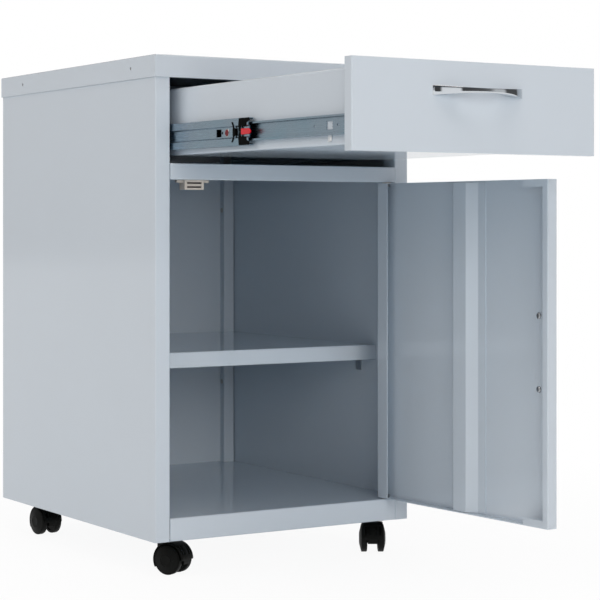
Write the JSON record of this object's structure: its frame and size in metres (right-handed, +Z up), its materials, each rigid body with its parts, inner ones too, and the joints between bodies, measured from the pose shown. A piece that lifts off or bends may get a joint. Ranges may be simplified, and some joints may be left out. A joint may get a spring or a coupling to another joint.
{
  "type": "medical cabinet",
  "caption": "Mobile medical cabinet of folded sheet steel with a drawer on telescopic slides, a hinged door, an inner shelf, chromed bow handles and twin-wheel castors.",
  "frame": {"origin": "on the floor, under the middle of the casing", "axes": "+Z up, front towards -Y, the door's hinge on the +X side"},
  "size_m": [0.4268, 0.9745, 0.7],
  "materials": {
    "enamel": "glossy powder coat",
    "zinc_sheet": "zinc plated",
    "slide_steel": "zinc plated, rolled",
    "zinc_screws": "zinc plated",
    "chrome_bow": "polished",
    "catch_white": "moulded",
    "pole_steel": "bare",
    "nylon": "moulded",
    "black_nylon": "moulded, fine texture",
    "castor_tread": "moulded",
    "stem_steel": "zinc plated",
    "red_plastic": "moulded",
    "ball_steel": "ground steel balls in a steel strip"
  },
  "bodies": {
    "casing": {"back_panel": "enamel", "back_screws": "zinc_screws", "bottom_panel": "enamel", "cap_screws": "zinc_screws", "castor_nuts": "zinc_screws", "castor_rail_front": "zinc_sheet", "castor_rail_rear": "zinc_sheet", "castor_stems": "stem_steel", "catch_poles": "pole_steel", "divider_panel": "enamel", "magnetic_catch": "catch_white", "pivot_bushes": "nylon", "shelf": "enamel", "shelf_clips": "zinc_sheet", "side_panel_left": "enamel", "side_panel_right": "enamel", "slide_bracket_left": "zinc_sheet", "slide_bracket_right": "zinc_sheet", "slide_cabinet_member_left": "slide_steel", "slide_cabinet_member_right": "slide_steel", "top_cap": "enamel"},
    "drawer": {"drawer_front": "enamel", "drawer_tray": "enamel", "drawer_back": "enamel", "drawer_handle": "chrome_bow", "drawer_handle_screws": "zinc_screws", "slide_drawer_member_left": "slide_steel", "slide_drawer_member_right": "slide_steel"},
    "slide_middle_left": {"slide_middle_member_left": "slide_steel", "slide_stop_left": "black_nylon", "slide_buffer_left": "red_plastic", "slide_latch_left": "black_nylon"},
    "outer_balls_left": {"slide_outer_balls_left": "ball_steel"},
    "inner_balls_left": {"slide_inner_balls_left": "ball_steel"},
    "slide_middle_right": {"slide_middle_member_right": "slide_steel", "slide_stop_right": "black_nylon", "slide_buffer_right": "red_plastic", "slide_latch_right": "black_nylon"},
    "outer_balls_right": {"slide_outer_balls_right": "ball_steel"},
    "inner_balls_right": {"slide_inner_balls_right": "ball_steel"},
    "door": {"door_panel": "enamel", "door_stiffener": "enamel", "door_handle": "chrome_bow", "door_handle_screws": "zinc_screws", "door_pivot_pins": "zinc_screws"},
    "castor_front_left": {"castor_hood_front_left": "black_nylon", "castor_axle_front_left": "stem_steel"},
    "wheels_front_left": {"castor_wheels_front_left": "castor_tread"},
    "castor_front_right": {"castor_hood_front_right": "black_nylon", "castor_axle_front_right": "stem_steel"},
    "wheels_front_right": {"castor_wheels_front_right": "castor_tread"},
    "castor_rear_left": {"castor_hood_rear_left": "black_nylon", "castor_axle_rear_left": "stem_steel"},
    "wheels_rear_left": {"castor_wheels_rear_left": "castor_tread"},
    "castor_rear_right": {"castor_hood_rear_right": "black_nylon", "castor_axle_rear_right": "stem_steel"},
    "wheels_rear_right": {"castor_wheels_rear_right": "castor_tread"}
  },
  "joints": [
    {"name": "drawer_slide", "type": "slide", "parent": "casing", "child": "drawer", "axis": [0, -1, 0], "range_m": [-0.437, 0]},
    {"name": "slide_middle_left_travel", "type": "slide", "parent": "casing", "child": "slide_middle_left", "axis": [0, -1, 0], "range_m": [-0.22729, 0]},
    {"name": "outer_balls_left_travel", "type": "slide", "parent": "casing", "child": "outer_balls_left", "axis": [0, -1, 0], "range_m": [-0.11367, 0]},
    {"name": "inner_balls_left_travel", "type": "slide", "parent": "casing", "child": "inner_balls_left", "axis": [0, -1, 0], "range_m": [-0.33217, 0]},
    {"name": "slide_middle_right_travel", "type": "slide", "parent": "casing", "child": "slide_middle_right", "axis": [0, -1, 0], "range_m": [-0.22729, 0]},
    {"name": "outer_balls_right_travel", "type": "slide", "parent": "casing", "child": "outer_balls_right", "axis": [0, -1, 0], "range_m": [-0.11367, 0]},
    {"name": "inner_balls_right_travel", "type": "slide", "parent": "casing", "child": "inner_balls_right", "axis": [0, -1, 0], "range_m": [-0.33217, 0]},
    {"name": "door_hinge", "type": "hinge", "parent": "casing", "child": "door", "pos_m": [0.1725, -0.249, 0.306], "axis": [0, 0, 1], "range_deg": [-92.8, 17.2]},
    {"name": "castor_swivel_front_left", "type": "hinge", "parent": "casing", "child": "castor_front_left", "pos_m": [-0.1715, -0.212, 0.04], "axis": [0, 0, 1], "continuous": true},
    {"name": "castor_roll_front_left", "type": "hinge", "parent": "castor_front_left", "child": "wheels_front_left", "pos_m": [-0.16326, -0.22687, 0.02], "axis": [0.8746, 0.4848, 0], "continuous": true},
    {"name": "castor_swivel_front_right", "type": "hinge", "parent": "casing", "child": "castor_front_right", "pos_m": [0.1715, -0.212, 0.04], "axis": [0, 0, 1], "continuous": true},
    {"name": "castor_roll_front_right", "type": "hinge", "parent": "castor_front_right", "child": "wheels_front_right", "pos_m": [0.16274, -0.22657, 0.02], "axis": [0.8572, -0.515, 0], "continuous": true},
    {"name": "castor_swivel_rear_left", "type": "hinge", "parent": "casing", "child": "castor_rear_left", "pos_m": [-0.1715, 0.19, 0.04], "axis": [0, 0, 1], "continuous": true},
    {"name": "castor_roll_rear_left", "type": "hinge", "parent": "castor_rear_left", "child": "wheels_rear_left", "pos_m": [-0.16943, 0.17313, 0.02], "axis": [0.9925, 0.1219, 0], "continuous": true},
    {"name": "castor_swivel_rear_right", "type": "hinge", "parent": "casing", "child": "castor_rear_right", "pos_m": [0.1715, 0.19, 0.04], "axis": [0, 0, 1], "continuous": true},
    {"name": "castor_roll_rear_right", "type": "hinge", "parent": "castor_rear_right", "child": "wheels_rear_right", "pos_m": [0.17841, 0.17447, 0.02], "axis": [0.9135, 0.4067, 0], "continuous": true}
  ],
  "couplings": [
    {"joint": "slide_middle_left_travel", "follows": "drawer_slide", "ratio": 0.52},
    {"joint": "outer_balls_left_travel", "follows": "drawer_slide", "ratio": 0.26},
    {"joint": "inner_balls_left_travel", "follows": "drawer_slide", "ratio": 0.76},
    {"joint": "slide_middle_right_travel", "follows": "drawer_slide", "ratio": 0.52},
    {"joint": "outer_balls_right_travel", "follows": "drawer_slide", "ratio": 0.26},
    {"joint": "inner_balls_right_travel", "follows": "drawer_slide", "ratio": 0.76}
  ]
}
